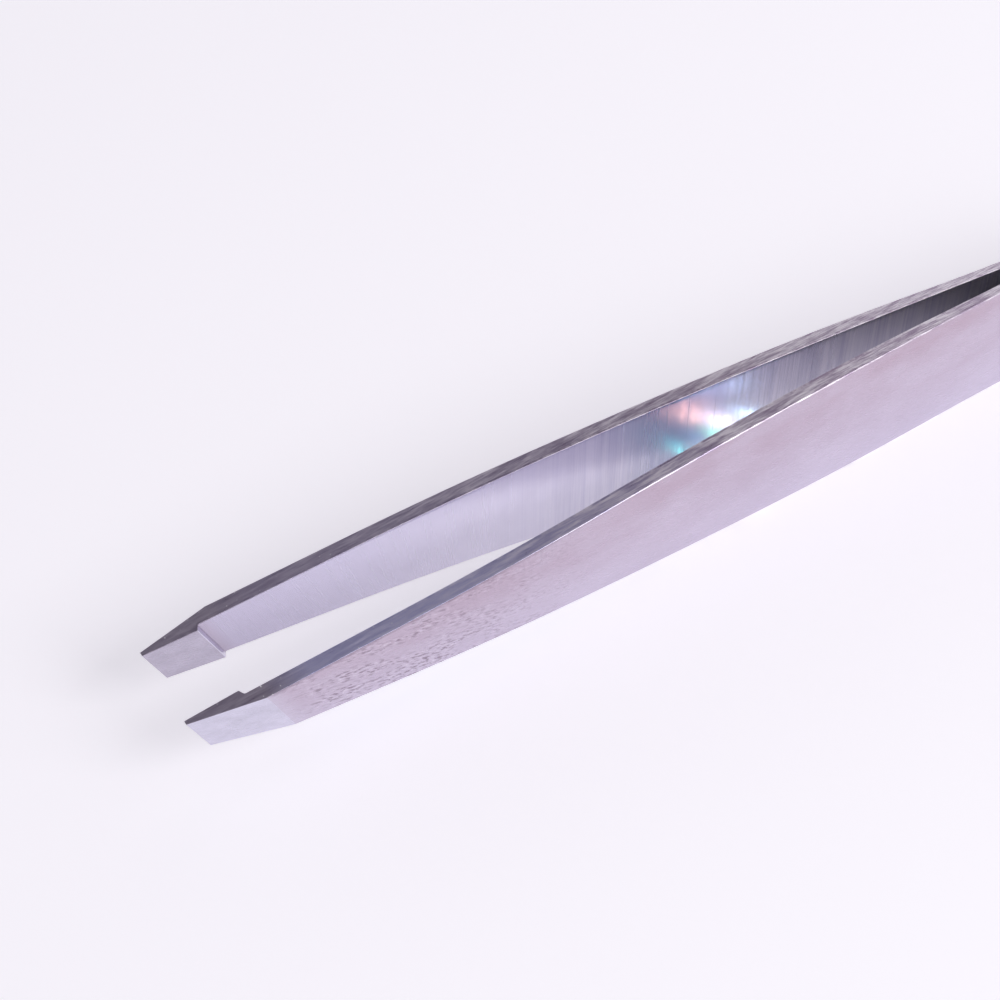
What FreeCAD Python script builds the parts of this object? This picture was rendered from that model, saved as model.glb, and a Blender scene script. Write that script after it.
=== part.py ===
"""Slant tweezers: two ground steel leaves, spot-welded together at the heel.

Millimetres. X runs from the tips (-X) to the heel (+X), Y across the two leaves, Z is up.
The tweezers stand on the lower long edges of the leaves, with the origin under the middle of
their box. Each leaf is cut at its flexure, where the thin steel bends in use, into an arm that
swings and a heel that stays, so that the closing motion can be a hinge.

Every sub-part is drawn from the tip (x = 0) and from the middle of its width (z = 0), and its
Placement then puts it into the frame.
"""
import FreeCAD, Part

import math
import os

import Sketcher

PARTS_FOLDER = "parts"
NEAR = 1e-4          # two lengths closer than this are the same
MARGIN = 3           # how far a cutting outline runs past the steel
LONG = 3             # an edge that runs this far in X goes along the leaf
OUTWARD = 0.9        # a face whose normal has this much Y in it faces out

# alias, value, what it is. Lengths along the leaf are counted from the tip.
DIMENSIONS = (
    ("overall_length", 95, "from the points to the end of the heel"),
    ("tip_half_gap", 3.16, "from the middle plane to the gripping face, at the point"),
    ("closing_angle", 2.5, "how far each arm turns until the gripping faces meet, in degrees"),
    ("tip_thickness", 0.35, "steel at the point"),
    ("pad_length", 4.1, "raised gripping pad inside the tip"),
    ("bevel_length", 6.1, "ground facet outside the tip"),
    ("front_half_gap", 3.48, "inner face of the leaf, carried on to the point"),
    ("front_bend_at", 23, "where the leaf turns in towards the other one"),
    ("front_bend_half_gap", 3.25, "inner face there"),
    ("front_bend_radius", 330, "how gently it turns"),
    ("rear_bend_at", 55.5, "second, slighter bend"),
    ("rear_bend_half_gap", 1.37, "inner face there"),
    ("rear_bend_radius", 500, "how gently it turns back"),
    ("contact_at", 88, "where the two leaves meet"),
    ("contact_radius", 70, "how the leaf runs flat into the contact"),
    ("leaf_thickness", 1.15, "steel in the arm"),
    ("spring_thickness", 0.75, "steel in the ground-down spring and the heel"),
    ("thinning_from", 54, "where the grinding down starts"),
    ("thinning_to", 70, "where it ends"),
    ("flexure_at", 72, "where the leaf is cut into arm and heel, and turns"),
    ("flexure_clearance", 0.05, "air between arm and heel at the cut"),
    ("tip_width", 2.95, "height of the point"),
    ("slant_run", 1.31, "how far the lower corner of the slant stands back"),
    ("taper_end_at", 47.8, "where the straight taper would reach the full width"),
    ("taper_end_radius", 410, "long curve that takes its corner off"),
    ("full_width", 10.4, "leaf at its widest"),
    ("narrowing_at", 85, "where the leaf narrows to the heel"),
    ("narrowing_radius", 150, "how gently it narrows"),
    ("heel_width", 8.6, "leaf at the end of the heel"),
    ("heel_corner_radius", 2, "rounded corners of the heel"),
    ("edge_radius", 0.15, "broken outer long edges"),
    ("weld_radius", 1.25, "nugget of a spot weld"),
    ("weld_depth", 0.4, "how far it goes into each leaf"),
    ("weld_at", 91.4, "both welds"),
    ("weld_spacing", 3.8, "between them, up the heel"),
)

doc = FreeCAD.newDocument("slant_tweezers")
sheet = doc.addObject("Spreadsheet::Sheet", "dims")
for row, (alias, value, meaning) in enumerate(DIMENSIONS, start=1):
    sheet.set(f"A{row}", str(value))
    sheet.set(f"B{row}", meaning)
    sheet.setAlias(f"A{row}", alias)
doc.recompute()

# Places and slopes worked out from the sheet, as expressions. Half gaps are measured from the
# middle plane.
ARM_END = "(dims.flexure_at - dims.flexure_clearance / 2)"
HEEL_START = "(dims.flexure_at + dims.flexure_clearance / 2)"
SPRING_SLOPE = "(dims.rear_bend_half_gap / (dims.contact_at - dims.rear_bend_at))"
FRONT_SLOPE = "((dims.front_half_gap - dims.front_bend_half_gap) / dims.front_bend_at)"
TAPER = "((dims.full_width - dims.tip_width) / 2 / dims.taper_end_at)"
SLANT = "(dims.slant_run / dims.tip_width)"
THINNING_HALF_GAP = (
    "(dims.rear_bend_half_gap + (dims.rear_bend_at - dims.thinning_from)"
    " * (dims.front_bend_half_gap - dims.rear_bend_half_gap)"
    " / (dims.rear_bend_at - dims.front_bend_at))"
)


def spring_half_gap(place):
    """The inner face of the leaf behind the second bend."""
    return f"((dims.contact_at - {place}) * {SPRING_SLOPE})"


def front_half_gap(place):
    """The inner face of the leaf ahead of the first bend."""
    return f"(dims.front_half_gap - {place} * {FRONT_SLOPE})"


def hold_point(sketch, geometry, vertex, expressions):
    """Fixes a point of the sketch at two expressions, counted from the sketch's origin."""
    for way, expression in zip(("DistanceX", "DistanceY"), expressions):
        value = float(sketch.evalExpression(expression))
        datum = sketch.addConstraint(
            Sketcher.Constraint(way, -1, 1, geometry, vertex, value)
        )
        sketch.setExpression(f"Constraints[{datum}]", expression)


def tangent_points(before, corner, after, radius):
    """Where an arc of this radius leaves the two sides of a corner, and its centre."""
    way_back = (before - corner).normalize()
    way_on = (after - corner).normalize()
    half_angle = way_back.getAngle(way_on) / 2
    reach = radius / math.tan(half_angle)
    middle = (way_back + way_on).normalize()
    centre = corner + middle * (radius / math.sin(half_angle))
    return corner + way_back * reach, corner + way_on * reach, centre


def outline(sketch, corners):
    """A closed outline of straight sides in the sketch. Each corner is two expressions for its
    place, and a third for its radius where an arc takes the corner off."""
    count = len(corners)
    places = [
        FreeCAD.Vector(*(float(sketch.evalExpression(e)) for e in corner[:2]), 0)
        for corner in corners
    ]
    arrive, leave, arcs = list(places), list(places), {}
    for n, corner in enumerate(corners):
        if len(corner) == 3:
            radius = float(sketch.evalExpression(corner[2]))
            arrive[n], leave[n], centre = tangent_points(
                places[n - 1], places[n], places[(n + 1) % count], radius
            )
            arcs[n] = (centre, radius)
    sides = [
        sketch.addGeometry(Part.LineSegment(leave[n], arrive[(n + 1) % count]), False)
        for n in range(count)
    ]
    for n, corner in enumerate(corners):
        side_in, side_out = sides[n - 1], sides[n]
        if n not in arcs:
            sketch.addConstraint(Sketcher.Constraint("Coincident", side_in, 2, side_out, 1))
            hold_point(sketch, side_out, 1, corner)
            continue
        centre, radius = arcs[n]
        start, end = arrive[n] - centre, leave[n] - centre
        turns_left = start.cross(end).z > 0
        first, last = (start, end) if turns_left else (end, start)
        vertex_in, vertex_out = (1, 2) if turns_left else (2, 1)
        ring = Part.Circle(centre, FreeCAD.Vector(0, 0, 1), radius)
        from_angle, to_angle = (math.atan2(way.y, way.x) for way in (first, last))
        arc = sketch.addGeometry(Part.ArcOfCircle(ring, from_angle, to_angle), False)
        point = sketch.addGeometry(Part.Point(places[n]), True)
        sketch.addConstraint(Sketcher.Constraint("Tangent", side_in, 2, arc, vertex_in))
        sketch.addConstraint(Sketcher.Constraint("Tangent", arc, vertex_out, side_out, 1))
        hold_point(sketch, point, 1, corner[:2])
        for side in (side_in, side_out):
            sketch.addConstraint(Sketcher.Constraint("PointOnObject", point, 1, side))
        datum = sketch.addConstraint(Sketcher.Constraint("Radius", arc, radius))
        sketch.setExpression(f"Constraints[{datum}]", corner[2])


def circle(sketch, across, up, radius):
    """A circle in the sketch, held by three expressions."""
    values = [float(sketch.evalExpression(e)) for e in (across, up, radius)]
    centre = FreeCAD.Vector(values[0], values[1], 0)
    ring = sketch.addGeometry(
        Part.Circle(centre, FreeCAD.Vector(0, 0, 1), values[2]), False
    )
    hold_point(sketch, ring, 3, (across, up))
    datum = sketch.addConstraint(Sketcher.Constraint("Radius", ring, values[2]))
    sketch.setExpression(f"Constraints[{datum}]", radius)


def sketch_on(body, plane, name):
    """An empty sketch on one of the body's own origin planes."""
    sketch = body.newObject("Sketcher::SketchObject", f"{body.Label}_{name}")
    support = [f for f in body.Origin.OriginFeatures if f.Role == plane][0]
    sketch.AttachmentSupport = [(support, "")]
    sketch.MapMode = "FlatFace"
    doc.recompute()
    return sketch


def extrude(body, sketch, kind, name, length, both_ways=False, reverse=False):
    """A Pad or Pocket of the sketch. It has to change the body's volume."""
    before = 0 if body.Tip is None else body.Tip.Shape.Volume
    feature = body.newObject(f"PartDesign::{kind}", f"{body.Label}_{name}")
    feature.Profile = sketch
    if both_ways:
        feature.SideType = "Symmetric"
    feature.setExpression("Length", length)
    feature.Reversed = reverse
    body.Tip = feature
    doc.recompute()
    grew = feature.Shape.Volume - before
    if abs(grew) < NEAR or (grew > 0) != (kind == "Pad"):
        raise RuntimeError(f"{feature.Name} changed the volume by {grew}")
    return feature


def round_edges(body, name, radius, chosen):
    """A Fillet on the edges of the body for which chosen(edge) holds."""
    base = body.Tip
    names = [f"Edge{n}" for n, e in enumerate(base.Shape.Edges, start=1) if chosen(e)]
    if not names:
        raise RuntimeError(f"{body.Label}_{name} finds no edge")
    feature = body.newObject("PartDesign::Fillet", f"{body.Label}_{name}")
    feature.Base = (base, names)
    feature.setExpression("Radius", radius)
    body.Tip = feature
    doc.recompute()
    return feature


def long_outer_edges(body, side):
    """Picks the edges that run along the leaf on both sides of its outer faces."""
    outer = [
        face for face in body.Tip.Shape.Faces
        if face.normalAt(*face.Surface.parameter(face.CenterOfMass)).y * side > OUTWARD
    ]
    edges = [edge for face in outer for edge in face.Edges if edge.BoundBox.XLength > LONG]
    return lambda edge: any(edge.isSame(long_edge) for long_edge in edges)


def new_body(label):
    """An empty body with this label, placed so that its tip end lies at the frame's tip."""
    body = doc.addObject("PartDesign::Body", label)
    body.Label = label
    body.setExpression("Placement.Base.x", "-dims.overall_length / 2")
    body.setExpression("Placement.Base.z", "dims.full_width / 2")
    doc.recompute()
    return body


def cut_to_width(body, corners):
    """Trims the body to its outline as seen from the side, inside a frame that is cut away."""
    sketch = sketch_on(body, "XZ_Plane", "side_outline")
    outline(sketch, (
        (f"-{MARGIN}", "-dims.full_width"),
        (f"dims.overall_length + {MARGIN}", "-dims.full_width"),
        (f"dims.overall_length + {MARGIN}", "dims.full_width"),
        (f"-{MARGIN}", "dims.full_width"),
    ))
    outline(sketch, corners)
    doc.recompute()
    extrude(body, sketch, "Pocket", "trim", "4 * dims.full_width", both_ways=True)


def make_arm(label, side):
    """The arm: from the slanted point to the flexure. side is 1 for +Y and -1 for -Y."""
    body = new_body(label)
    bevel_half_gap = f"({front_half_gap('dims.bevel_length')} + dims.leaf_thickness)"
    thinned = f"({spring_half_gap('dims.thinning_to')} + dims.spring_thickness)"
    profile = sketch_on(body, "XY_Plane", "profile")
    front_bend, rear_bend = "dims.front_bend_radius", "dims.rear_bend_radius"
    outline(profile, [(along, f"{side} * {gap}", *bend) for along, gap, *bend in (
        ("0", "dims.front_half_gap"),
        ("dims.front_bend_at", "dims.front_bend_half_gap", front_bend),
        ("dims.rear_bend_at", "dims.rear_bend_half_gap", rear_bend),
        (ARM_END, spring_half_gap(ARM_END)),
        (ARM_END, f"({spring_half_gap(ARM_END)} + dims.spring_thickness)"),
        ("dims.thinning_to", thinned),
        ("dims.thinning_from", f"({THINNING_HALF_GAP} + dims.leaf_thickness)", rear_bend),
        ("dims.front_bend_at", "(dims.front_bend_half_gap + dims.leaf_thickness)", front_bend),
        ("dims.bevel_length", bevel_half_gap),
        ("0", "(dims.tip_half_gap + dims.tip_thickness)"),
    )])
    doc.recompute()
    extrude(body, profile, "Pad", "leaf", "dims.full_width", both_ways=True)

    block = sketch_on(body, "XZ_Plane", "pad_outline")
    outline(block, (
        ("0", "dims.full_width / 2"),
        (f"(dims.pad_length + {SLANT} * (dims.tip_width - dims.full_width) / 2)",
         "dims.full_width / 2"),
        (f"(dims.pad_length + {SLANT} * (dims.tip_width + dims.full_width) / 2)",
         "-dims.full_width / 2"),
        ("0", "-dims.full_width / 2"),
    ))
    doc.recompute()
    extrude(body, block, "Pad", "pad_block", "dims.front_half_gap", reverse=side > 0)

    pad_half_gap = "(dims.tip_half_gap - ({0}) * tan(dims.closing_angle))"
    face = sketch_on(body, "XY_Plane", "gripping_face")
    behind_pad = "2 * dims.pad_length + dims.slant_run"
    outline(face, (
        (f"-{MARGIN}", f"-{side} * {MARGIN}"),
        (behind_pad, f"-{side} * {MARGIN}"),
        (behind_pad, f"{side} * " + pad_half_gap.format(behind_pad)),
        (f"-{MARGIN}", f"{side} * " + pad_half_gap.format(f"-{MARGIN}")),
    ))
    doc.recompute()
    extrude(body, face, "Pocket", "grind_pad", "2 * dims.full_width", both_ways=True)

    cut_to_width(body, (
        ("0", "dims.tip_width / 2"),
        ("dims.taper_end_at", "dims.full_width / 2", "dims.taper_end_radius"),
        (ARM_END, "dims.full_width / 2"),
        (ARM_END, "-dims.full_width / 2"),
        ("dims.taper_end_at", "-dims.full_width / 2", "dims.taper_end_radius"),
        ("dims.slant_run", f"-(dims.tip_width / 2 + dims.slant_run * {TAPER})"),
    ))
    round_edges(body, "broken_edges", "dims.edge_radius", long_outer_edges(body, side))
    return body


def make_heel(label, side):
    """The heel: from the flexure to the rounded end, with pockets for the welds."""
    body = new_body(label)
    profile = sketch_on(body, "XY_Plane", "profile")
    outline(profile, [(along, f"{side} * {gap}", *bend) for along, gap, *bend in (
        (HEEL_START, spring_half_gap(HEEL_START)),
        ("dims.contact_at", "0", "dims.contact_radius"),
        ("dims.overall_length", "0"),
        ("dims.overall_length", "dims.spring_thickness"),
        ("dims.contact_at", "dims.spring_thickness", "dims.contact_radius"),
        (HEEL_START, f"({spring_half_gap(HEEL_START)} + dims.spring_thickness)"),
    )])
    doc.recompute()
    extrude(body, profile, "Pad", "leaf", "dims.full_width", both_ways=True)
    cut_to_width(body, (
        (HEEL_START, "dims.full_width / 2"),
        ("dims.narrowing_at", "dims.full_width / 2", "dims.narrowing_radius"),
        ("dims.overall_length", "dims.heel_width / 2", "dims.heel_corner_radius"),
        ("dims.overall_length", "-dims.heel_width / 2", "dims.heel_corner_radius"),
        ("dims.narrowing_at", "-dims.full_width / 2", "dims.narrowing_radius"),
        (HEEL_START, "-dims.full_width / 2"),
    ))
    seats = sketch_on(body, "XZ_Plane", "weld_seats")
    for up in (1, -1):
        circle(seats, "dims.weld_at", f"{up} * dims.weld_spacing / 2", "dims.weld_radius")
    doc.recompute()
    extrude(body, seats, "Pocket", "seats", "dims.weld_depth", reverse=side < 0)
    round_edges(body, "broken_edges", "dims.edge_radius", long_outer_edges(body, side))
    return body


def make_weld(label, up):
    """The nugget of one spot weld, half of it in each leaf."""
    weld = doc.addObject("Part::Cylinder", label)
    weld.Label = label
    weld.setExpression("Radius", "dims.weld_radius")
    weld.setExpression("Height", "2 * dims.weld_depth")
    weld.Placement.Rotation = FreeCAD.Rotation(FreeCAD.Vector(1, 0, 0), 90)
    weld.setExpression("Placement.Base.x", "dims.weld_at - dims.overall_length / 2")
    weld.setExpression("Placement.Base.y", "dims.weld_depth")
    weld.setExpression(
        "Placement.Base.z", f"dims.full_width / 2 + {up} * dims.weld_spacing / 2"
    )
    doc.recompute()
    return weld


sub_parts = [
    make_arm("right_leaf_arm", 1),
    make_arm("left_leaf_arm", -1),
    make_heel("right_leaf_heel", 1),
    make_heel("left_leaf_heel", -1),
    make_weld("upper_spot_weld", 1),
    make_weld("lower_spot_weld", -1),
]

doc.recompute()
for thing in doc.Objects:
    if {"Invalid", "Error"} & set(thing.State):
        raise RuntimeError(f"{thing.Name} did not build: {thing.State}")
for part in sub_parts:
    if part.Shape.isNull() or not part.Shape.isValid() or len(part.Shape.Solids) != 1:
        raise RuntimeError(f"{part.Label} has no good shape")

os.makedirs(PARTS_FOLDER, exist_ok=True)
for part in sub_parts:
    part.Shape.exportStep(os.path.join(PARTS_FOLDER, f"{part.Label}.step"))
    box = part.Shape.BoundBox
    print(
        f"{part.Label}: {part.Shape.Volume:.3f} mm3,"
        f" x {box.XMin:.3f}..{box.XMax:.3f}, y {box.YMin:.3f}..{box.YMax:.3f},"
        f" z {box.ZMin:.3f}..{box.ZMax:.3f}"
    )
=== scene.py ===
"""Slant tweezers in ground stainless steel, standing on the long edges of their two leaves.

Metres in Blender. The leaf's own shape is worked out in millimetres, counted from the point
(u or x = 0) towards the heel, and from the middle of the leaf's width (z = 0).
"""
import math

import bpy
import numpy as np
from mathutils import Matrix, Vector


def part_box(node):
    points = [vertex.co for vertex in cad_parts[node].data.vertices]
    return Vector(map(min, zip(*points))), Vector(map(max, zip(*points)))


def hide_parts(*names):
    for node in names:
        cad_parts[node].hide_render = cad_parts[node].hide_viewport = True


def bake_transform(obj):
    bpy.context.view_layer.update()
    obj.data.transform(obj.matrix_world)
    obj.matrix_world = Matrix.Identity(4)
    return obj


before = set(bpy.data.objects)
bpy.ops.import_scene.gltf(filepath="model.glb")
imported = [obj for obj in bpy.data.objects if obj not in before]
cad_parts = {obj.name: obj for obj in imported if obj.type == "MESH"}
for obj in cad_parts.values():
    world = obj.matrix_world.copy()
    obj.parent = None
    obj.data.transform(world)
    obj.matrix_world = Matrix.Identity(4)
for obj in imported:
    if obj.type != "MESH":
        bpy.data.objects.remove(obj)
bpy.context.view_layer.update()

MM = 0.001
LEAVES = {"right": 1, "left": -1}

# ---- the leaf, in millimetres -------------------------------------------------------------
heel_low, heel_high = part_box("right_leaf_heel")
arm_low, arm_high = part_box("right_leaf_arm")
LENGTH = (heel_high.x - arm_low.x) / MM
FULL_WIDTH = (arm_high.z - arm_low.z) / MM
TIP_WIDTH = 2.95
TAPER_END, TAPER_RADIUS = 47.8, 410
HEEL_WIDTH, NARROWING, NARROWING_RADIUS, HEEL_CORNER = 8.6, 85, 150, 2.0
TAPER = (FULL_WIDTH - TIP_WIDTH) / 2 / TAPER_END
SLANT = 1.31 / TIP_WIDTH        # how far the point falls back for each mm down its width
SLANT_FADES = (8.0, 30.0)       # between these the mesh turns from the slant to upright
TIP_HALF_GAP, TIP_THICKNESS = 3.16, 0.35
CLOSING_SLOPE = math.tan(math.radians(2.5))
PAD_LENGTH, PAD_STEP = 4.08, 0.30
STEP_HOLLOW = 0.7               # under 1, the step is steepest at its top
CREST_MIDDLE, CREST_HALF_WIDTH = 0.06, 0.1   # edge of the pad's step, painted bright as a highlight
BEVEL_LENGTH = 5.4
THICKNESS, SPRING_THICKNESS = 1.15, 0.75
# (place, half gap, bend radius) of the inner face
INNER = ((0, 3.48, 0), (23, 3.25, 330), (55.5, 1.37, 500), (88, 0, 70), (LENGTH, 0, 0))
THINNING, THINNING_RADIUS = (54, 70), 300
INNER_EDGE, OUTER_EDGE = 0.04, 0.11   # roundings of the long edges
OUTER_EDGE_AT_TIP, EDGE_GROWS = 0.015, (24, 40)
INNER_EDGE_SHARE, OUTER_EDGE_SHARE = 0.15, 0.3   # of the steel's thickness, at most


def bent_line(x, corners):
    """Straight runs through the corners, with an arc of the corner's radius at each."""
    places = [corner[0] for corner in corners]
    heights = [corner[1] for corner in corners]
    y = np.interp(x, places, heights)
    slopes = np.diff(heights) / np.diff(places)
    for n in range(1, len(corners) - 1):
        turn = slopes[n] - slopes[n - 1]
        reach = corners[n][2] * abs(turn) / 2
        if reach == 0:
            continue
        into = np.clip(x - (places[n] - reach), 0, 2 * reach)
        curve = heights[n] - slopes[n - 1] * reach + slopes[n - 1] * into
        curve += turn * into ** 2 / (4 * reach)
        near = abs(x - places[n]) < reach
        y = np.where(near, curve, y)
    return y


def half_width(x):
    """Half the height of the leaf, tapering to the point and rounded at the heel."""
    tip, full, heel = TIP_WIDTH / 2, FULL_WIDTH / 2, HEEL_WIDTH / 2
    y = bent_line(x, (
        (0, tip, 0), (TAPER_END, full, TAPER_RADIUS), (NARROWING, full, NARROWING_RADIUS),
        (LENGTH, heel, 0),
    ))
    round_from = LENGTH - HEEL_CORNER
    into = np.clip(x - round_from, 0, HEEL_CORNER)
    return y - HEEL_CORNER + np.sqrt(HEEL_CORNER ** 2 - into ** 2)


def inner_half_gap(x, u):
    """The inner face: the raised gripping pad, its step, and the leaf behind it."""
    leaf = bent_line(x, INNER)
    pad = TIP_HALF_GAP - x * CLOSING_SLOPE
    down = np.clip((u - PAD_LENGTH) / PAD_STEP, 0, 1) ** STEP_HOLLOW
    share = (1 + np.cos(math.pi * down)) / 2
    return leaf + (pad - leaf) * share


def outer_half_gap(x, u):
    """The outer face: the ground bevel at the point, the leaf, and its thinner spring."""
    start, end = THINNING
    at_start, at_end = bent_line(np.array([start, end]), INNER)
    leaf = bent_line(x, (
        (0, INNER[0][1] + THICKNESS, 0),
        (INNER[1][0], INNER[1][1] + THICKNESS, INNER[1][2]),
        (start, at_start + THICKNESS, INNER[2][2]),
        (end, at_end + SPRING_THICKNESS, THINNING_RADIUS),
        (INNER[3][0], SPRING_THICKNESS, INNER[3][2]),
        (LENGTH, SPRING_THICKNESS, 0),
    ))
    tip = TIP_HALF_GAP + TIP_THICKNESS
    bevel_end = bent_line(np.array([BEVEL_LENGTH]), INNER)[0] + THICKNESS
    bevel = tip + (bevel_end - tip) * u / BEVEL_LENGTH
    return np.where(u < BEVEL_LENGTH, bevel, leaf)


def slanted(u, z):
    """Where a point of the mesh ring u lies along the leaf."""
    first, last = SLANT_FADES
    fade = np.clip((last - u) / (last - first), 0, 1)
    fade = fade * fade * (3 - 2 * fade)
    return u + SLANT * fade * (TIP_WIDTH / 2 - z)


RING_SPACING, CLOSEST_RINGS = 0.6, 0.12


def rings():
    """Places of the mesh rings along the leaf: even ones, and close ones where it turns."""
    even = np.arange(0, LENGTH, RING_SPACING)
    tip = np.array([0.0, 0.03, 0.1, 0.25])
    step = PAD_LENGTH + np.linspace(-0.04, PAD_STEP + 0.06, 13)
    bevel = BEVEL_LENGTH + np.array([-0.08, 0.0, 0.08])
    corner = LENGTH - HEEL_CORNER * (1 - np.sin(np.linspace(0, math.pi / 2, 12)))
    end = LENGTH - OUTER_EDGE * (1 - np.sin(np.linspace(0, math.pi / 2, 4)))
    fixed = np.unique(np.concatenate([tip, step, bevel, corner, end]).round(5))
    clear = [u for u in even if abs(fixed - u).min() > CLOSEST_RINGS]
    return np.unique(np.concatenate([fixed, clear]))


FACE_ROWS = np.array([0, 0.04, 0.12, 0.3, 0.5, 0.7, 0.88, 0.96, 1])
SIDE_ROWS = np.array([0.15, 0.5, 0.85])
CORNER_STEPS = 4
INNER_FACE, TOP_EDGE, OUTER_FACE, BOTTOM_EDGE = range(4)


def ring_plan():
    """The ring's points in order: (which corner or stretch, how far through it)."""
    plan = []
    arc = np.linspace(0, 1, CORNER_STEPS + 1)[1:-1]
    for stretch, rows in ((INNER_FACE, FACE_ROWS), (TOP_EDGE, SIDE_ROWS),
                          (OUTER_FACE, FACE_ROWS), (BOTTOM_EDGE, SIDE_ROWS)):
        plan += [(stretch, None, share) for share in rows]
        if stretch in (INNER_FACE, OUTER_FACE):
            plan += [(stretch, "arc", share) for share in arc]
            plan.append((stretch, "arc", 1.0))
        else:
            plan.append((stretch, "corner", 0.0))
            plan += [(stretch, "corner", share) for share in arc]
    return plan


SLANT_PASSES = 6      # a ring's height and its slant each depend on the other


def edge_height(u, sign):
    """Height of the ring's upper (sign 1) or lower (sign -1) edge."""
    z = sign * half_width(u)
    for _ in range(SLANT_PASSES):
        z = sign * half_width(np.clip(slanted(u, z), 0, LENGTH))
    return z


def leaf_points(side):
    """All mesh points, as an array [ring, point, xyz] in millimetres, the places of the rings,
    and for each point of a ring its stretch and whether it is on a rounding."""
    u = rings()[:, None]
    plan = ring_plan()
    top, bottom = edge_height(u, 1), edge_height(u, -1)
    middle_x = slanted(u, 0 * u)
    steel = outer_half_gap(middle_x, u) - inner_half_gap(middle_x, u)
    soft_in = np.minimum(INNER_EDGE, INNER_EDGE_SHARE * steel)
    soft_out = np.interp(u, EDGE_GROWS, (OUTER_EDGE_AT_TIP, OUTER_EDGE))
    soft_out = np.minimum(soft_out, OUTER_EDGE_SHARE * steel)
    into_end = np.clip(u - LENGTH + OUTER_EDGE, 0, OUTER_EDGE)
    end_round = OUTER_EDGE - np.sqrt(np.maximum(OUTER_EDGE ** 2 - into_end ** 2, 0))
    points = np.zeros((len(u), len(plan), 3))
    for n, (stretch, kind, share) in enumerate(plan):
        quarter = share * math.pi / 2
        rise, run = math.sin(quarter), 1 - math.cos(quarter)
        low_in, high_in = bottom + soft_in, top - soft_in
        low_out, high_out = bottom + soft_out, top - soft_out
        depth_in = depth_out = 0 * u
        from_inner = True
        if stretch == INNER_FACE:
            if kind is None:
                z = low_in + (high_in - low_in) * share
            else:
                z, depth_in = high_in + soft_in * rise, soft_in * run
        elif stretch == TOP_EDGE:
            z, from_inner = top, None
            if kind == "corner":
                z, depth_out, from_inner = top - soft_out * run, soft_out * (1 - rise), False
        elif stretch == OUTER_FACE:
            from_inner = False
            if kind is None:
                z = high_out + (low_out - high_out) * share
            else:
                z, depth_out = low_out - soft_out * rise, soft_out * run
        else:
            z, from_inner = bottom, None
            if kind == "corner":
                z, depth_in, from_inner = bottom + soft_in * run, soft_in * (1 - rise), True
        x = np.minimum(slanted(u, z), LENGTH)
        inner = inner_half_gap(x, u) + depth_in
        outer = outer_half_gap(x, u) - depth_out - end_round
        if from_inner is None:
            through = share if stretch == TOP_EDGE else 1 - share
            inner = inner + soft_in
            outer = outer - soft_out
            y = inner + (outer - inner) * through
        else:
            y = inner if from_inner else outer
        points[:, n, 0] = x[:, 0]
        points[:, n, 1] = y[:, 0] * side
        points[:, n, 2] = z[:, 0]
    return points, u[:, 0], [(stretch, kind is not None) for stretch, kind, _ in plan]


INNER_STEEL, EDGE_STEEL, OUTER_STEEL, BEVEL_STEEL, PAD_STEEL, CREST_HIGHLIGHT_STEEL = range(6)

# How far apart the unrolled faces, the two leaves and the end caps lie in the UV map, in mm.
FACES_APART, LEAVES_APART, CAPS_AT = 30, 200, 150


def face_steel(stretch, rounding, u):
    """Which finish a face of the mesh has."""
    if stretch in (TOP_EDGE, BOTTOM_EDGE) or rounding:
        return EDGE_STEEL
    if stretch == OUTER_FACE:
        return BEVEL_STEEL if u < BEVEL_LENGTH else OUTER_STEEL
    # the edge of the pad's step gets the steel that is painted bright as a highlight
    if abs(u - PAD_LENGTH - CREST_MIDDLE) < CREST_HALF_WIDTH:
        return CREST_HIGHLIGHT_STEEL
    return PAD_STEEL if u < PAD_LENGTH else INNER_STEEL


def make_leaf(name, side, steels):
    """One leaf, point to heel, as a closed mesh with its finishes and an unrolled UV map."""
    points, places, stretches = leaf_points(side)
    ring_count, point_count = points.shape[:2]
    vertices = points.reshape(-1, 3) * MM
    vertices[:, 0] += arm_low.x
    vertices[:, 2] += arm_low.z + FULL_WIDTH / 2 * MM
    faces, finishes, unrolled = [], [], []
    for r in range(ring_count - 1):
        for p in range(point_count):
            q = (p + 1) % point_count
            corners = [(r, p), (r + 1, p), (r + 1, q), (r, q)]
            if side < 0:
                corners.reverse()
            stretch, rounding = stretches[p]
            faces.append([row * point_count + column for row, column in corners])
            finishes.append(face_steel(stretch, rounding, (places[r] + places[r + 1]) / 2))
            across = 2 if stretch in (INNER_FACE, OUTER_FACE) else 1
            shift = FACES_APART * stretch + LEAVES_APART * (side > 0)
            unrolled += [
                (places[row], points[row, column, across] + shift) for row, column in corners
            ]
    flat = points.reshape(-1, 3)
    tip = list(range(point_count))
    heel = [(ring_count - 1) * point_count + p for p in range(point_count)]
    for cap in ((tip[::-1], heel) if side < 0 else (tip, heel[::-1])):
        faces.append(cap)
        finishes.append(EDGE_STEEL)
        unrolled += [(flat[v, 2] + CAPS_AT, flat[v, 1]) for v in cap]
    mesh = bpy.data.meshes.new(name)
    mesh.from_pydata(vertices.tolist(), [], faces)
    mesh.polygons.foreach_set("material_index", finishes)
    mesh.polygons.foreach_set("use_smooth", [True] * (len(faces) - 2) + [False] * 2)
    layer = mesh.uv_layers.new(name="Unrolled")
    layer.data.foreach_set("uv", np.array(unrolled, np.float32).ravel())
    for steel in steels:
        mesh.materials.append(steel)
    mesh.validate()
    mesh.update()
    leaf = bpy.data.objects.new(name, mesh)
    bpy.context.scene.collection.objects.link(leaf)
    return leaf


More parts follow.
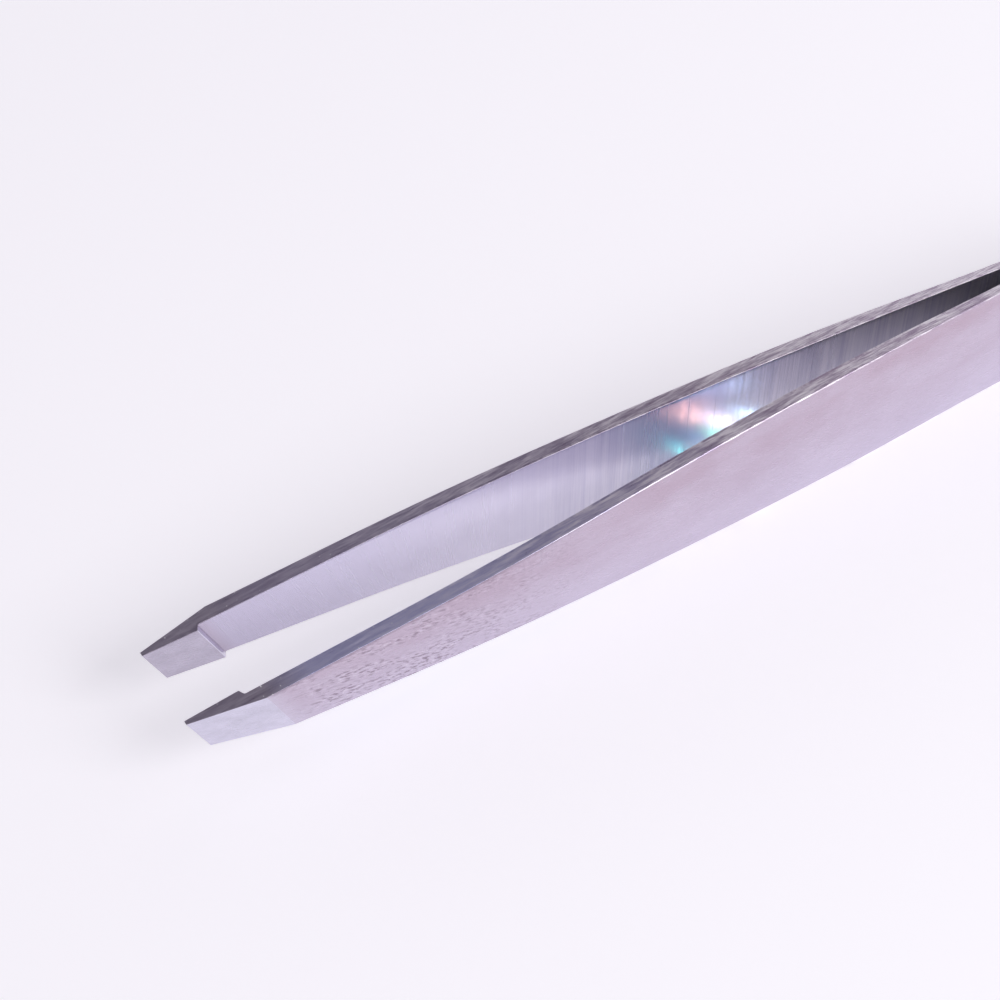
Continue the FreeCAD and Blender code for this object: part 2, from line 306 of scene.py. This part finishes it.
# ---- finishes -----------------------------------------------------------------------------
class Nodes:
    """A short way to write a node tree."""

    def __init__(self, name):
        self.material = bpy.data.materials.new(name)
        self.material.use_nodes = True
        self.tree = self.material.node_tree
        self.shader = self.tree.nodes["Principled BSDF"]

    def add(self, kind, inputs=None, **settings):
        node = self.tree.nodes.new(kind)
        for key, value in settings.items():
            setattr(node, key, value)
        for key, value in (inputs or {}).items():
            self.put(node.inputs[key], value)
        return node

    def put(self, socket, value):
        if isinstance(value, bpy.types.NodeSocket):
            self.tree.links.new(value, socket)
        else:
            socket.default_value = value

    def stretched_noise(self, along, across, detail=4, roughness=0.6, offset=0, turned=0):
        """Noise with this many waves to the millimetre along and across the leaf, with its
        streaks turned by some degrees from the leaf's length."""
        where = self.add("ShaderNodeUVMap", uv_map="Unrolled").outputs["UV"]
        if turned:
            where = self.add("ShaderNodeMapping", {
                "Vector": where, "Rotation": (0, 0, math.radians(-turned)),
            }).outputs["Vector"]
        scaled = self.add("ShaderNodeMapping", {
            "Vector": where, "Scale": (along, across, 1), "Location": (offset, offset, offset),
        }).outputs["Vector"]
        return self.add("ShaderNodeTexNoise", {
            "Vector": scaled, "Scale": 1, "Detail": detail, "Roughness": roughness,
        }).outputs["Fac"]

    def spread(self, value, low, high, to_low=0.0, to_high=1.0):
        """Maps low..high of a value to another range."""
        return self.add("ShaderNodeMapRange", {
            "Value": value, "From Min": low, "From Max": high,
            "To Min": to_low, "To Max": to_high,
        }).outputs["Result"]

    def along(self):
        """Distance from the slanted point, in mm."""
        where = self.add("ShaderNodeUVMap", uv_map="Unrolled").outputs["UV"]
        return self.add("ShaderNodeSeparateXYZ", {"Vector": where}).outputs["X"]

    def far_leaf(self):
        """1 on the right leaf and 0 on the left one."""
        where = self.add("ShaderNodeNewGeometry").outputs["Position"]
        y = self.add("ShaderNodeSeparateXYZ", {"Vector": where}).outputs["Y"]
        return self.maths("GREATER_THAN", y, 0.0)

    def upward(self):
        """0 at the lower edge of the leaf and 1 at the upper edge, at the full width."""
        where = self.add("ShaderNodeNewGeometry").outputs["Position"]
        z = self.add("ShaderNodeSeparateXYZ", {"Vector": where}).outputs["Z"]
        return self.spread(z, arm_low.z, arm_high.z)

    def mix(self, share, first, second):
        node = self.add("ShaderNodeMix", data_type="RGBA")
        for key, value in ((0, share), (6, first), (7, second)):
            self.put(node.inputs[key], value)
        return node.outputs[2]

    def maths(self, operation, first, second):
        node = self.add("ShaderNodeMath", operation=operation)
        self.put(node.inputs[0], first)
        self.put(node.inputs[1], second)
        return node.outputs[0]

    def bump(self, height, depth, under=None):
        """Relief of this depth in metres."""
        inputs = {"Height": height, "Distance": depth, "Strength": 1.0}
        if under is not None:
            inputs["Normal"] = under
        return self.add("ShaderNodeBump", inputs).outputs["Normal"]

    def finish(self, colour, roughness, normal, anisotropy=0.0, turned=0.0):
        self.put(self.shader.inputs["Base Color"], colour)
        self.put(self.shader.inputs["Metallic"], 1.0)
        self.put(self.shader.inputs["Roughness"], roughness)
        self.put(self.shader.inputs["Normal"], normal)
        self.put(self.shader.inputs["Anisotropic"], anisotropy)
        self.put(self.shader.inputs["Anisotropic Rotation"], turned)
        if anisotropy:
            tangent = self.add("ShaderNodeTangent", direction_type="UV_MAP", uv_map="Unrolled")
            self.put(self.shader.inputs["Tangent"], tangent.outputs["Tangent"])
        return self.material


# Places in mm from the point between which a finish changes, first value to last.
LINES_GROW, LINES_WEAKEN = (26, 42), (48, 62)
# the inner faces' painted reflection brightens over these; its painted darker band grows and fades
# over the next
FRONT_BRIGHTENS, REAR_BRIGHTENS = (5, 30), (34, 52)
DARK_BAND_GROWS, DARK_BAND_FADES = (37.5, 42), (50, 44)
POLISH_GROWS, POLISH_FADES = (37, 43), (58, 52)
STEP_SHADE_ENDS = PAD_LENGTH + 1.3
STREAKS_GROW, TIP_TINT_ENDS, FRONT_TINT_ENDS, SPECKS_FADE = (10, 42), (5.5, 9), (20, 44), (24, 12)
PITS_FADE, PITS_GROW = (32, 16), (5.6, 8)
FACET_LENGTH = 1.4              # lighter band behind the bevel, painted as the sheen of a second facet that the mesh lacks
# painted shade below the outer faces' upper edge:
RIM_DEPTH, RIM_FADES, RIM_GROWS = 0.35, (34, 22), (BEVEL_LENGTH, BEVEL_LENGTH + 0.6)
SCORES_GROW, SCORES_FADE = (16, 22), (30, 25)

# Colours of the steel, many of them with painted reflection, shade or highlights in them.
INNER_REFLECTION_AT_TIP, INNER_REFLECTION_FRONT = (0.60, 0.56, 0.69, 1), (0.80, 0.77, 0.88, 1)
INNER_REFLECTION_REAR, INNER_LINE = (0.975, 0.955, 0.995, 1), (0.50, 0.48, 0.66, 1)
INNER_CLOUD, INNER_PAINTED_DARK_REFLECTION = (0.50, 0.46, 0.56, 1), (0.30, 0.36, 0.54, 1)
BEHIND_STEP_PAINTED_SHADOW = (0.50, 0.43, 0.52, 1)
LEFT_EDGE_PAINTED_REFLECTION, RIGHT_EDGE_PAINTED_REFLECTION = (0.62, 0.64, 0.90, 1), (0.46, 0.42, 0.54, 1)
TIP_EDGE, REAR_EDGE, EDGE_STREAK = (0.42, 0.38, 0.46, 1), (0.46, 0.375, 0.49, 1), (1.0, 0.96, 1.0, 1)
EDGE_SPECK_PAINTED_GLINT = (1, 1, 1, 1)
OUTER_LOW_PAINTED_REFLECTION, OUTER_HIGH_PAINTED_REFLECTION = (0.60, 0.55, 0.67, 1), (0.53, 0.415, 0.50, 1)
OUTER_CLOUD, OUTER_FACET_PAINTED_SHEEN = (0.68, 0.63, 0.75, 1), (0.66, 0.62, 0.73, 1)
PIT_PAINTED_SHADE, PIT_CREST_PAINTED_HIGHLIGHT = (0.27, 0.21, 0.27, 1), (0.80, 0.74, 0.84, 1)
OUTER_RIM_PAINTED_SHADE, OUTER_SCORE = (0.26, 0.20, 0.27, 1), (0.36, 0.30, 0.38, 1)


def inner_steel():
    """Ground across the leaf: upright lines, faint at the tips and strong behind the middle, with
    painted reflection and a painted shadow behind the pad's step in the colour.
    """
    n = Nodes("inner_ground_steel")
    fine = n.stretched_noise(6, 0.07, detail=4, roughness=0.7)
    broad = n.stretched_noise(1.1, 0.05, detail=3, offset=7)
    cloud = n.stretched_noise(0.5, 0.4, detail=3, offset=31)
    strength = n.maths("MULTIPLY", n.spread(n.along(), *LINES_GROW, 0.05, 1),
                       n.spread(n.along(), *LINES_WEAKEN, 1, 0.6))
    lines = n.maths("ADD", n.maths("MULTIPLY", fine, 0.5), n.maths("MULTIPLY", broad, 0.5))
    shade = n.maths("MULTIPLY", n.spread(lines, 0.42, 0.66, 0, 0.8), strength)
    # painted reflection: dark at the tip, brightening towards the rear
    front = n.mix(n.spread(n.along(), *FRONT_BRIGHTENS), INNER_REFLECTION_AT_TIP, INNER_REFLECTION_FRONT)
    bright = n.mix(n.spread(n.along(), *REAR_BRIGHTENS), front, INNER_REFLECTION_REAR)
    colour = n.mix(shade, bright, INNER_LINE)
    colour = n.mix(n.spread(cloud, 0.4, 0.7, 0, 0.12), colour, INNER_CLOUD)
    # painted reflection: a darker bluish band, where the face reflects the other leaf
    painted_dark_reflection = n.maths("MULTIPLY", n.spread(n.along(), *DARK_BAND_GROWS),
                        n.spread(n.along(), *DARK_BAND_FADES))
    colour = n.mix(n.maths("MULTIPLY", painted_dark_reflection, 0.6), colour, INNER_PAINTED_DARK_REFLECTION)
    # painted shadow: darker just behind the pad's step, fading towards the heel
    painted_step_shadow = n.spread(n.along(), PAD_LENGTH + PAD_STEP, STEP_SHADE_ENDS, 0.6, 0)
    colour = n.mix(painted_step_shadow, colour, BEHIND_STEP_PAINTED_SHADOW)
    polish = n.maths("MULTIPLY", n.spread(n.along(), *POLISH_GROWS),
                     n.spread(n.along(), *POLISH_FADES))
    rough = n.maths("ADD", n.spread(polish, 0, 1, 0.27, 0.17),
                    n.maths("MULTIPLY", n.spread(lines, 0.35, 0.65, 0, 0.12), strength))
    relief = n.bump(n.maths("MULTIPLY", lines, strength), 0.000008)
    return n.finish(colour, rough, relief, 0.6)


def edge_steel():
    """The narrow sides: coarse grinding along the leaf, with a few bright specks painted as glints
    on nicks, and a painted reflection that differs from leaf to leaf.
    """
    n = Nodes("edge_ground_steel")
    fine = n.stretched_noise(0.7, 8, detail=5, roughness=0.75, offset=3, turned=2)
    broad = n.stretched_noise(0.3, 2.4, detail=3, offset=11, turned=3)
    lines = n.maths("ADD", n.maths("MULTIPLY", fine, 0.55), n.maths("MULTIPLY", broad, 0.45))
    contrast = n.spread(n.along(), *STREAKS_GROW, 0.22, 1)
    streak = n.maths("MULTIPLY", n.spread(lines, 0.43, 0.58), contrast)
    # painted reflection: the left leaf's edges bluish, the right leaf's purple-brown
    painted_reflection_by_leaf = n.mix(n.far_leaf(), LEFT_EDGE_PAINTED_REFLECTION, RIGHT_EDGE_PAINTED_REFLECTION)
    at_tip = n.mix(n.spread(n.along(), *TIP_TINT_ENDS), TIP_EDGE, painted_reflection_by_leaf)
    dull = n.mix(n.spread(n.along(), *FRONT_TINT_ENDS), at_tip, REAR_EDGE)
    colour = n.mix(streak, dull, EDGE_STREAK)
    # nicks in the edges: rougher, and painted white as glints
    where = n.add("ShaderNodeUVMap", uv_map="Unrolled").outputs["UV"]
    specks = n.add("ShaderNodeTexVoronoi", {"Vector": where, "Scale": 1.8})
    nick_and_glint = n.maths("MULTIPLY", n.spread(specks.outputs["Distance"], 0.10, 0.05),
                    n.spread(n.along(), *SPECKS_FADE))
    colour = n.mix(nick_and_glint, colour, EDGE_SPECK_PAINTED_GLINT)
    rough = n.spread(lines, 0.35, 0.65, 0.26, 0.46)
    rough = n.maths("ADD", rough, n.maths("MULTIPLY", nick_and_glint, 0.4))
    return n.finish(colour, rough, n.bump(lines, 0.00003), 0.5, 0.25)


def outer_steel():
    """The outer faces: satin polish over a pitted, wavy skin that shows towards the tips, with
    painted reflection, painted shade and painted highlights in the colour.
    """
    n = Nodes("outer_satin_steel")
    waves = n.stretched_noise(1.9, 5.2, detail=5, roughness=0.55, offset=5, turned=-14)
    patches = n.stretched_noise(0.2, 0.8, detail=2, offset=29, turned=-8)
    cloud = n.stretched_noise(0.12, 0.3, detail=3, offset=13)
    satin = n.stretched_noise(0.5, 14, detail=3, offset=17, turned=-3)
    upright = n.stretched_noise(3.5, 0.25, detail=3, offset=37)

    # painted reflection: pinkish towards the upper edge, lavender towards the lower edge
    painted_reflection_tint = n.mix(n.upward(), OUTER_LOW_PAINTED_REFLECTION, OUTER_HIGH_PAINTED_REFLECTION)
    tint = n.mix(n.spread(cloud, 0.35, 0.65, 0, 0.4), painted_reflection_tint, OUTER_CLOUD)
    # painted sheen of a second facet behind the bevel
    facet = n.spread(n.along(), BEVEL_LENGTH, BEVEL_LENGTH + FACET_LENGTH, 0.7, 0)
    tint = n.mix(facet, tint, OUTER_FACET_PAINTED_SHEEN)

    front = n.maths("MULTIPLY", n.spread(n.along(), *PITS_FADE), n.spread(n.along(), *PITS_GROW))
    pitted = n.maths("MULTIPLY", front, n.spread(patches, 0.40, 0.58, 0.12, 1))
    # the pits of the bumped skin are painted dark as shade, its crests painted light as highlights
    painted_pit_shade = n.maths("MULTIPLY", n.spread(waves, 0.52, 0.60), n.maths("MULTIPLY", pitted, 0.75))
    crests = n.maths("MULTIPLY", n.spread(waves, 0.46, 0.38), n.maths("MULTIPLY", pitted, 0.5))
    colour = n.mix(painted_pit_shade, tint, PIT_PAINTED_SHADE)
    colour = n.mix(crests, colour, PIT_CREST_PAINTED_HIGHLIGHT)

    # painted shade: a dark line just below the upper edge, towards the tips
    below_edge = n.maths("SUBTRACT", n.maths("MULTIPLY", n.along(), TAPER),
                         n.spread(n.upward(), 0, 1, -(FULL_WIDTH + TIP_WIDTH) / 2,
                                  (FULL_WIDTH - TIP_WIDTH) / 2))
    painted_rim_shade = n.maths("MULTIPLY", n.spread(below_edge, 0, RIM_DEPTH, 0.7, 0),
                  n.spread(n.along(), *RIM_FADES))
    painted_rim_shade = n.maths("MULTIPLY", painted_rim_shade, n.spread(n.along(), *RIM_GROWS))
    colour = n.mix(painted_rim_shade, colour, OUTER_RIM_PAINTED_SHADE)

    scored = n.maths("MULTIPLY", n.spread(n.along(), *SCORES_GROW),
                     n.spread(n.along(), *SCORES_FADE))
    scored = n.maths("MULTIPLY", scored, n.spread(n.upward(), 0.55, 0.85))
    score = n.maths("MULTIPLY", scored, n.spread(upright, 0.50, 0.62, 0, 0.35))
    colour = n.mix(score, colour, OUTER_SCORE)

    rough = n.spread(satin, 0.3, 0.7, 0.24, 0.34)
    fine = n.bump(satin, 0.000001)
    relief = n.bump(n.maths("MULTIPLY", waves, pitted), 0.00003, fine)
    return n.finish(colour, rough, relief, 0.3, 0.25)


CLOUD_SHADE = 0.86              # the darker clouds, as a share of the colour
GROUND_DEPTH = 0.000001         # relief of the fine grinding, in metres


def plain_ground_steel(name, colour, rough):
    """Fine grinding along the facet, for the bevels, the gripping pads and their crests."""
    n = Nodes(name)
    lines = n.stretched_noise(0.7, 12, detail=4, offset=19)
    cloud = n.stretched_noise(0.5, 0.8, detail=3, offset=23)
    darker = tuple(CLOUD_SHADE * c for c in colour) + (1,)
    shade = n.mix(n.spread(cloud, 0.35, 0.7), colour + (1,), darker)
    return n.finish(shade, n.spread(lines, 0.3, 0.7, rough, rough + 0.1),
                    n.bump(lines, GROUND_DEPTH), 0.3, 0.25)


def weld_steel():
    """Steel that melted and set: dull, with fine grains."""
    n = Nodes("weld_steel")
    where = n.add("ShaderNodeNewGeometry").outputs["Position"]
    grains = n.add("ShaderNodeTexNoise", {"Vector": where, "Scale": 9000, "Detail": 3})
    colour = n.mix(grains.outputs["Fac"], (0.45, 0.42, 0.45, 1), (0.60, 0.58, 0.61, 1))
    return n.finish(colour, 0.5, n.bump(grains.outputs["Fac"], 0.00001))


steels = [
    inner_steel(),
    edge_steel(),
    outer_steel(),
    plain_ground_steel("bevel_ground_steel", (0.71, 0.69, 0.81), 0.20),
    plain_ground_steel("pad_ground_steel", (0.58, 0.54, 0.64), 0.22),
    # the crest steel is painted lighter than the pad steel, as a highlight on the step's edge
    plain_ground_steel("crest_painted_highlight_steel", (0.80, 0.77, 0.88), 0.16),
]

for name, side in LEAVES.items():
    leaf = make_leaf(f"{name}_leaf", side, steels)
    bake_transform(leaf)
    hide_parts(f"{name}_leaf_arm", f"{name}_leaf_heel")

weld = weld_steel()
for node in ("upper_spot_weld", "lower_spot_weld"):
    for material_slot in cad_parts[node].material_slots:
        material_slot.material = weld


# ---- floor, light and camera --------------------------------------------------------------
FLOOR_SIZE = 20.0
FLOOR_GLOW = 0.45
SKY = (             # (height on the sky sphere, colour)
    (0.0, (0.93, 0.92, 0.95, 1)),
    (0.35, (0.75, 0.73, 0.78, 1)),
    (0.6, (0.16, 0.14, 0.18, 1)),
    (0.85, (0.14, 0.12, 0.16, 1)),
    (1.0, (0.5, 0.48, 0.54, 1)),
)
GLINT_HEIGHT = 0.4  # mm above the floor


def make_floor():
    """A pale light table: it glows a little, so that shadows on it stay faint."""
    half = FLOOR_SIZE / 2
    mesh = bpy.data.meshes.new("floor")
    corners = [(-half, -half, 0), (half, -half, 0), (half, half, 0), (-half, half, 0)]
    mesh.from_pydata(corners, [], [(0, 1, 2, 3)])
    floor = bpy.data.objects.new("floor", mesh)
    bpy.context.scene.collection.objects.link(floor)
    n = Nodes("floor_paper")
    grain = n.add("ShaderNodeTexNoise", {"Scale": 40})
    n.put(n.shader.inputs["Base Color"],
          n.mix(grain.outputs["Fac"], (0.84, 0.83, 0.85, 1), (0.88, 0.87, 0.88, 1)))
    n.put(n.shader.inputs["Roughness"], 0.7)
    n.put(n.shader.inputs["Emission Color"], (0.97, 0.96, 1, 1))
    n.put(n.shader.inputs["Emission Strength"], FLOOR_GLOW)
    mesh.materials.append(n.material)


def make_world():
    """A pale horizon and a dark band above it, which the narrow sides of the leaves reflect."""
    world = bpy.data.worlds.new("studio")
    bpy.context.scene.world = world
    world.use_nodes = True
    tree = world.node_tree
    where = tree.nodes.new("ShaderNodeTexCoord")
    split = tree.nodes.new("ShaderNodeSeparateXYZ")
    ramp = tree.nodes.new("ShaderNodeValToRGB")
    tree.links.new(where.outputs["Generated"], split.inputs["Vector"])
    tree.links.new(split.outputs["Z"], ramp.inputs["Fac"])
    for place, _ in SKY[1:-1]:
        ramp.color_ramp.elements.new(place)
    for element, (place, colour) in zip(ramp.color_ramp.elements, SKY):
        element.position = place
        element.color = colour
    tree.links.new(ramp.outputs["Color"], tree.nodes["Background"].inputs["Color"])


def softbox(name, towards, distance, size, watts, colour):
    """An area light that far from the tweezers, facing them."""
    light = bpy.data.lights.new(name, "AREA")
    light.shape = "RECTANGLE"
    light.size, light.size_y = size
    light.energy = watts
    light.color = colour
    lamp = bpy.data.objects.new(name, light)
    direction = Vector(towards).normalized()
    lamp.location = direction * distance
    lamp.rotation_euler = direction.to_track_quat("Z", "Y").to_euler()
    bpy.context.scene.collection.objects.link(lamp)
    return lamp


def glint(name, along, across, size, strength, colour):
    """A tiny coloured lamp low between the leaves, shining up: the ground lines of the inner
    faces split the light like a grating, and these stand in for the colours. No camera sees
    the lamp itself. Its place and size are in mm."""
    lamp = softbox(name, (0, 0, -1), 1, (size * MM, size * MM),
                   strength * math.pi * (size * MM) ** 2, colour)
    lamp.location = (arm_low.x + along * MM, across * MM, GLINT_HEIGHT * MM)
    lamp.visible_camera = False


make_floor()
make_world()
softbox("front_softbox", (0.37, -0.71, 0.6), 0.5, (0.3, 0.25), 1.0, (1, 0.98, 1))
softbox("back_right_softbox", (0.85, 0.45, 0.75), 0.5, (0.3, 0.3), 0.12, (1, 0.97, 1))
glint("peach_glint", 47.2, 1.1, 1.2, 12, (1, 0.46, 0.24))
glint("white_glint", 49.3, -0.3, 1.3, 7, (1, 0.97, 0.90))
glint("cyan_glint", 51.6, -0.3, 1.0, 5.5, (0.62, 0.95, 1))
glint("green_glint", 48.4, -1.3, 0.7, 5, (0.2, 1, 0.5))
glint("blue_glint", 46.8, -1.1, 1.0, 1.4, (0.05, 0.45, 0.62))
glint("teal_glint", 45.0, -1.5, 0.6, 4.5, (0.05, 0.95, 0.7))

# The view: how far round and how high the camera stands, and what it looks at.
VIEW_YAW, VIEW_RISE = math.radians(32.04), math.radians(45.16)
LOOK_AT = Vector((-0.02053, 0.00220, 0.00757))
VIEW_DISTANCE = 0.133
LENS = 68.42

camera_data = bpy.data.cameras.new("camera")
camera_data.lens = LENS
camera_data.clip_start = 0.005
camera = bpy.data.objects.new("camera", camera_data)
back = Vector((
    -math.sin(VIEW_YAW) * math.cos(VIEW_RISE),
    -math.cos(VIEW_YAW) * math.cos(VIEW_RISE),
    math.sin(VIEW_RISE),
))
camera.location = LOOK_AT + back * VIEW_DISTANCE
camera.rotation_euler = back.to_track_quat("Z", "Y").to_euler()
bpy.context.scene.collection.objects.link(camera)
bpy.context.scene.camera = camera
bpy.context.scene.view_settings.view_transform = "Standard"
